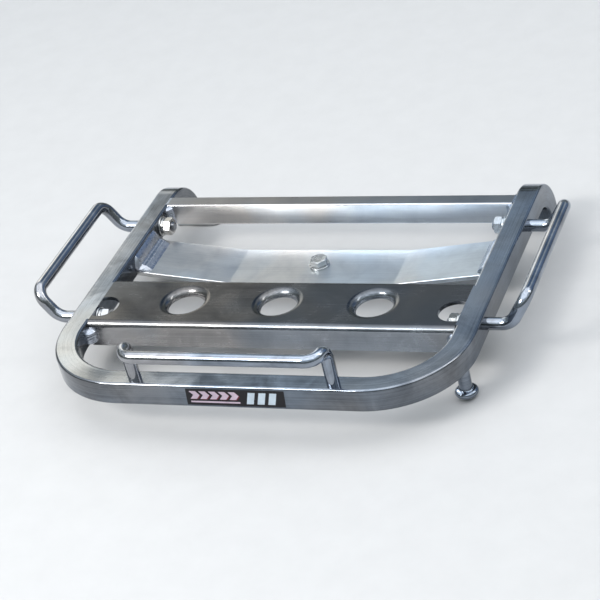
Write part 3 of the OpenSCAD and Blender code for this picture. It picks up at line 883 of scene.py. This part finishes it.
def hook_bead(piece, sign):
    """The ring round a hook's stem, with uneven ripples."""
    steps = 120
    section = ((0, 0), (1, 0), (0.86, 0.4), (0.45, 0.8), (0, 1))
    ring = []
    for k in range(steps + 1):
        t = WHOLE * k / steps
        out = Vector((math.cos(t), math.sin(t), 0))
        drift = noise.noise(Vector((math.cos(t) * 2, math.sin(t) * 2, sign)))
        size = HOOK_LEG + 0.13 * math.sin(t * 17 + sign) + 0.12 * drift
        base = Vector((sign * HOOK_X, HOOK_Y, -TUBE_H)) + out * ROD_R
        places = [base + out * size * a - Z * size * b for a, b in section]
        ring.append([piece.vertex(p, (t * ROD_R, j, 0)) for j, p in enumerate(places)])
    piece.rings(ring)


def flush_fill(piece, sign, y0, y1):
    """The ground weld between a rail's rounded edge and what meets it there, from y0 to y1."""
    x = sign * RAIL_IN
    edge = [(x + sign * u, z) for u, z in arc(EDGE_R, -EDGE_R, EDGE_R, 180, 90, 8)[1:]]
    outline = [(x, FILL_Z)] + edge + [(x, 0)]
    ends = [[piece.vertex((px, y, z), (y, px, z)) for px, z in outline] for y in (y0, y1)]
    piece.rings(ends)
    for end in ends:
        piece.face(end)


def welds():
    cross_beads, bracket_beads, foot_beads, hook_beads = Piece(), Piece(), Piece(), Piece()
    plate_beads, plate_fills = Piece(), Piece()
    low = -TUBE_H + BEAD_RISE
    foot_half, foot_z = TUBE_H / 2 - EDGE_R, FOOT_T - DECK_Z
    bracket_half = BRACKET_W / 2
    for sign in (1, -1):
        x = sign * RAIL_IN
        inward = (-sign, 0, 0)
        slope = (-sign * (RAIL_IN - BRACKET_FLAT), 0, BRACKET_Z - BRACKET_END_Z)
        for y, way, seed in ((CROSS_Y, -1, 2), (CROSS_Y + CROSS_W, 1, 6)):
            bead(cross_beads, (x, y, low), (x, y, BEAD_TOP), (0, way, 0), inward, CROSS_LEG, seed + sign)
        start, end = [(x, BRACKET_Y + way * bracket_half, BRACKET_END_Z) for way in (-1, 1)]
        bead(bracket_beads, start, end, Z, slope, BRACKET_LEG, 11 + sign,
             swell=0.0, ridge=0.045, hollow=0.46, wander=0.02)
        start, end = [(x, FOOT_Y + way * foot_half, foot_z) for way in (-1, 1)]
        bead(foot_beads, start, end, Z, inward, FOOT_LEG, 17 + sign, ripple=1.5)
        hook_bead(hook_beads, sign)
        bead(plate_beads, (x, PLATE_Y, low), (x, PLATE_Y, -FOLD_R), (0, -1, 0), inward, PLATE_LEG, 23 + sign,
             ripple=2.1, hollow=0.08)
        flush_fill(plate_fills, sign, *PLATE_FLAT)
        flush_fill(cross_beads, sign, CROSS_Y + CROSS_EDGE_R, CROSS_Y + CROSS_W - CROSS_EDGE_R)
    for piece, name, material, slot, node in (
        (cross_beads, "crossbar_weld_beads", weld, "weld_metal", "crossbar_welds"),
        (bracket_beads, "bracket_weld_beads", weld, "weld_metal", "bracket_welds"),
        (foot_beads, "foot_weld_beads", weld, "weld_metal", "foot_welds"),
        (hook_beads, "hook_weld_beads", weld, "weld_metal", "hook_welds"),
        (plate_beads, "plate_weld_beads", weld, "weld_metal", "plate_welds"),
        (plate_fills, "plate_weld_fills", polished, "polished_aluminium", "plate_welds"),
    ):
        finish_piece(piece, name, material, [node], sharp=60)


# ---- label ----


def slanted(x0, x1, z0, z1, lean):
    """The outline of a band that leans to the right as it rises."""
    return [(x0 + z0 * lean, z0), (x1 + z0 * lean, z0), (x1 + z1 * lean, z1), (x0 + z1 * lean, z1)]


def chevron(x, width, z0, z1):
    """The outline of a band that points to the right."""
    point = (z1 - z0) * 0.42
    middle = (z0 + z1) / 2
    tail = [(x, z1), (x + point, middle), (x, z0)]
    return tail + [(px + width, z) for px, z in tail[::-1]]


def film_part(name, material, outlines, back, front):
    """Flat shapes on the tail face, from back to front millimetres before it."""
    piece = Piece()
    for outline in outlines:
        rings = []
        for y in (-back, -front):
            rings.append([piece.vertex((LABEL_X + x, y, MID_Z + z), (x, z, 0)) for x, z in outline])
        piece.rings(rings)
        for ring in rings:
            piece.face(ring)
    finish_piece(piece, name, material, ["label"])


def label():
    """The film with generic bands on it, in place of lettering."""
    half_w, half_h = LABEL_W / 2, LABEL_H / 2
    lean, bar_lean = LABEL_SKEW / LABEL_H, 0.3
    pitch, count = 7.9, 5
    bar_w, bar_half_h, bar_xs = 5.6, 5.2, (9.8, 18.4, 27.0)
    shadows = [chevron(-35.9 + pitch * i, 5.5, -2.1, 4.7) for i in range(count)]
    chevrons = [chevron(-36.4 + pitch * i, 5.2, -1.7, 5.3) for i in range(count)]
    line = slanted(-36.2, 3.6, -5.0, -3.6, lean)
    bars = [slanted(x, x + bar_w, -bar_half_h, bar_half_h, bar_lean) for x in bar_xs]
    film_part("label_film", film_black, [slanted(-half_w, half_w, -half_h, half_h, lean)], 0, LABEL_T)
    film_part("label_bands_dark", film_red, shadows, 0.15, 0.23)
    film_part("label_bands_small", film_lilac, chevrons + [line], 0.18, 0.28)
    film_part("label_bands_wide", film_sky, bars, 0.18, 0.28)


rim()
load_plate()
crossbar()
lower_bracket()
handle(1, "right")
handle(-1, "left")
tail_hoop()
for sign, side_name in ((1, "right"), (-1, "left")):
    rope_hook(sign, side_name)
    foot(sign, side_name)
handle_fasteners()
hoop_fasteners()
centre_fasteners()
welds()
label()

# ---- floor ----

FLOOR_GAP, FLOOR_HALF = 0.0006, 6.0
floor_z = cad_box[0][2] - FLOOR_GAP
floor_corners = [(x * FLOOR_HALF, y * FLOOR_HALF, floor_z) for x, y in ((-1, -1), (1, -1), (1, 1), (-1, 1))]
floor_mesh = bpy.data.meshes.new("floor")
floor_mesh.from_pydata(floor_corners, [], [(0, 1, 2, 3)])
floor = bpy.data.objects.new("floor", floor_mesh)
bpy.context.scene.collection.objects.link(floor)
paper, n = new_material("floor_paper")
speck = n.noise(n.space(40), 3.0, 0.6)
white = n.ramp(speck, [(0.3, (0.575, 0.572, 0.568)), (0.7, (0.595, 0.592, 0.588))])
n.link(white, n.shader.inputs["Base Color"])
n.shader.inputs["Roughness"].default_value = 0.9
n.shader.inputs["Specular IOR Level"].default_value = 0.1
floor_mesh.materials.append(paper)

# ---- sky ----

# tones by the sine of the elevation, then patches as (direction, full within, gone beyond in degrees, colour)
SKY_TONES = [
    (0.0, (0.20, 0.22, 0.22)), (0.40, (0.24, 0.27, 0.27)), (0.52, (0.68, 0.74, 0.77)),
    (0.62, (0.60, 0.67, 0.72)), (0.78, (0.95, 1.05, 1.18)), (1.0, (0.80, 0.87, 0.96)),
]
SKY_PATCHES = (
    ((-0.62, 0.72, 0.30), 6, 17, (2.0, 1.95, 1.8)),
    ((0.60, 0.70, 0.36), 6, 24, (0.17, 0.25, 0.40)),
    ((-0.08, 0.74, 0.66), 9, 18, (0.12, 0.19, 0.30)),
)

world = bpy.data.worlds.new("studio")
world.use_nodes = True
sky = Nodes(world.node_tree)
direction = sky.add("ShaderNodeTexCoord").outputs["Generated"]
split = sky.add("ShaderNodeSeparateXYZ")
sky.link(direction, split.inputs[0])
mottle = sky.noise(direction, 2.0, 0.55, scale=8.0, phase=3.0)
light = sky.scale(sky.ramp(split.outputs["Z"], SKY_TONES), sky.remap(mottle, 0.35, 0.65, 0.2, 1.8))
for toward, full, gone, paint in SKY_PATCHES:
    near = sky.add("ShaderNodeVectorMath", operation="DOT_PRODUCT")
    near.inputs[1].default_value = Vector(toward).normalized()
    sky.link(direction, near.inputs[0])
    share = sky.remap(near.outputs["Value"], math.cos(math.radians(gone)), math.cos(math.radians(full)), 0, 1)
    mix = sky.add("ShaderNodeMix", data_type="RGBA")
    sky.link(share, mix.inputs[0])
    sky.link(light, mix.inputs[6])
    mix.inputs[7].default_value = (*paint, 1)
    light = mix.outputs[2]
sky.link(light, sky.tree.nodes["Background"].inputs["Color"])
bpy.context.scene.world = world

# ---- lights and camera ----


def outward(azimuth, elevation):
    """A direction given in radians. Azimuth 0 is behind the tail, and it grows towards +X."""
    level = math.cos(elevation)
    return Vector((math.sin(azimuth) * level, -math.cos(azimuth) * level, math.sin(elevation)))


def area(name, azimuth, elevation, distance, size, power, color, target):
    """A soft light that faces the target, with its angles in degrees."""
    out = outward(math.radians(azimuth), math.radians(elevation))
    data = bpy.data.lights.new(name, "AREA")
    data.shape, data.size, data.size_y = "RECTANGLE", size[0], size[1]
    data.energy, data.color = power, color
    obj = bpy.data.objects.new(name, data)
    bpy.context.scene.collection.objects.link(obj)
    obj.location = target + out * distance
    obj.rotation_euler = out.to_track_quat("Z", "Y").to_euler()


WARM_WHITE = (1.0, 0.985, 0.965)
look = row((0, 127.5, 0))
corner = row((-150, 22, 0))
area("overhead", 10, 84, 1.9, (3.2, 2.7), 25, WARM_WHITE, look)
area("front_left", -38, 41, 1.9, (0.7, 0.45), 21, WARM_WHITE, look)
area("right_strip", 105, 40, 1.8, (0.3, 0.9), 3, (1.0, 0.98, 0.96), look)
area("corner_card", -145, 32, 2.5, (0.22, 0.22), 0.34, (1.0, 0.95, 0.80), corner)

AZIMUTH, ELEVATION, ROLL = math.radians(26.9), math.radians(31.97), math.radians(-14.33)
DISTANCE, LENS, AIM_RIGHT, AIM_UP = 1.633, 126.05, 0.01195, -0.00885
back = outward(AZIMUTH, ELEVATION)
level = Vector((math.cos(AZIMUTH), math.sin(AZIMUTH), 0))
up = level.cross(-back)
cam_x = level * math.cos(ROLL) + up * math.sin(ROLL)
cam_y = up * math.cos(ROLL) - level * math.sin(ROLL)
cam_data = bpy.data.cameras.new("camera")
cam_data.sensor_width, cam_data.lens = 36.0, LENS
cam = bpy.data.objects.new("camera", cam_data)
bpy.context.scene.collection.objects.link(cam)
spot = look + cam_x * AIM_RIGHT + cam_y * AIM_UP + back * DISTANCE
cam.matrix_world = Matrix.Translation(spot) @ Matrix((cam_x, cam_y, back)).transposed().to_4x4()
bpy.context.scene.camera = cam
bpy.context.scene.view_settings.view_transform = "Standard"
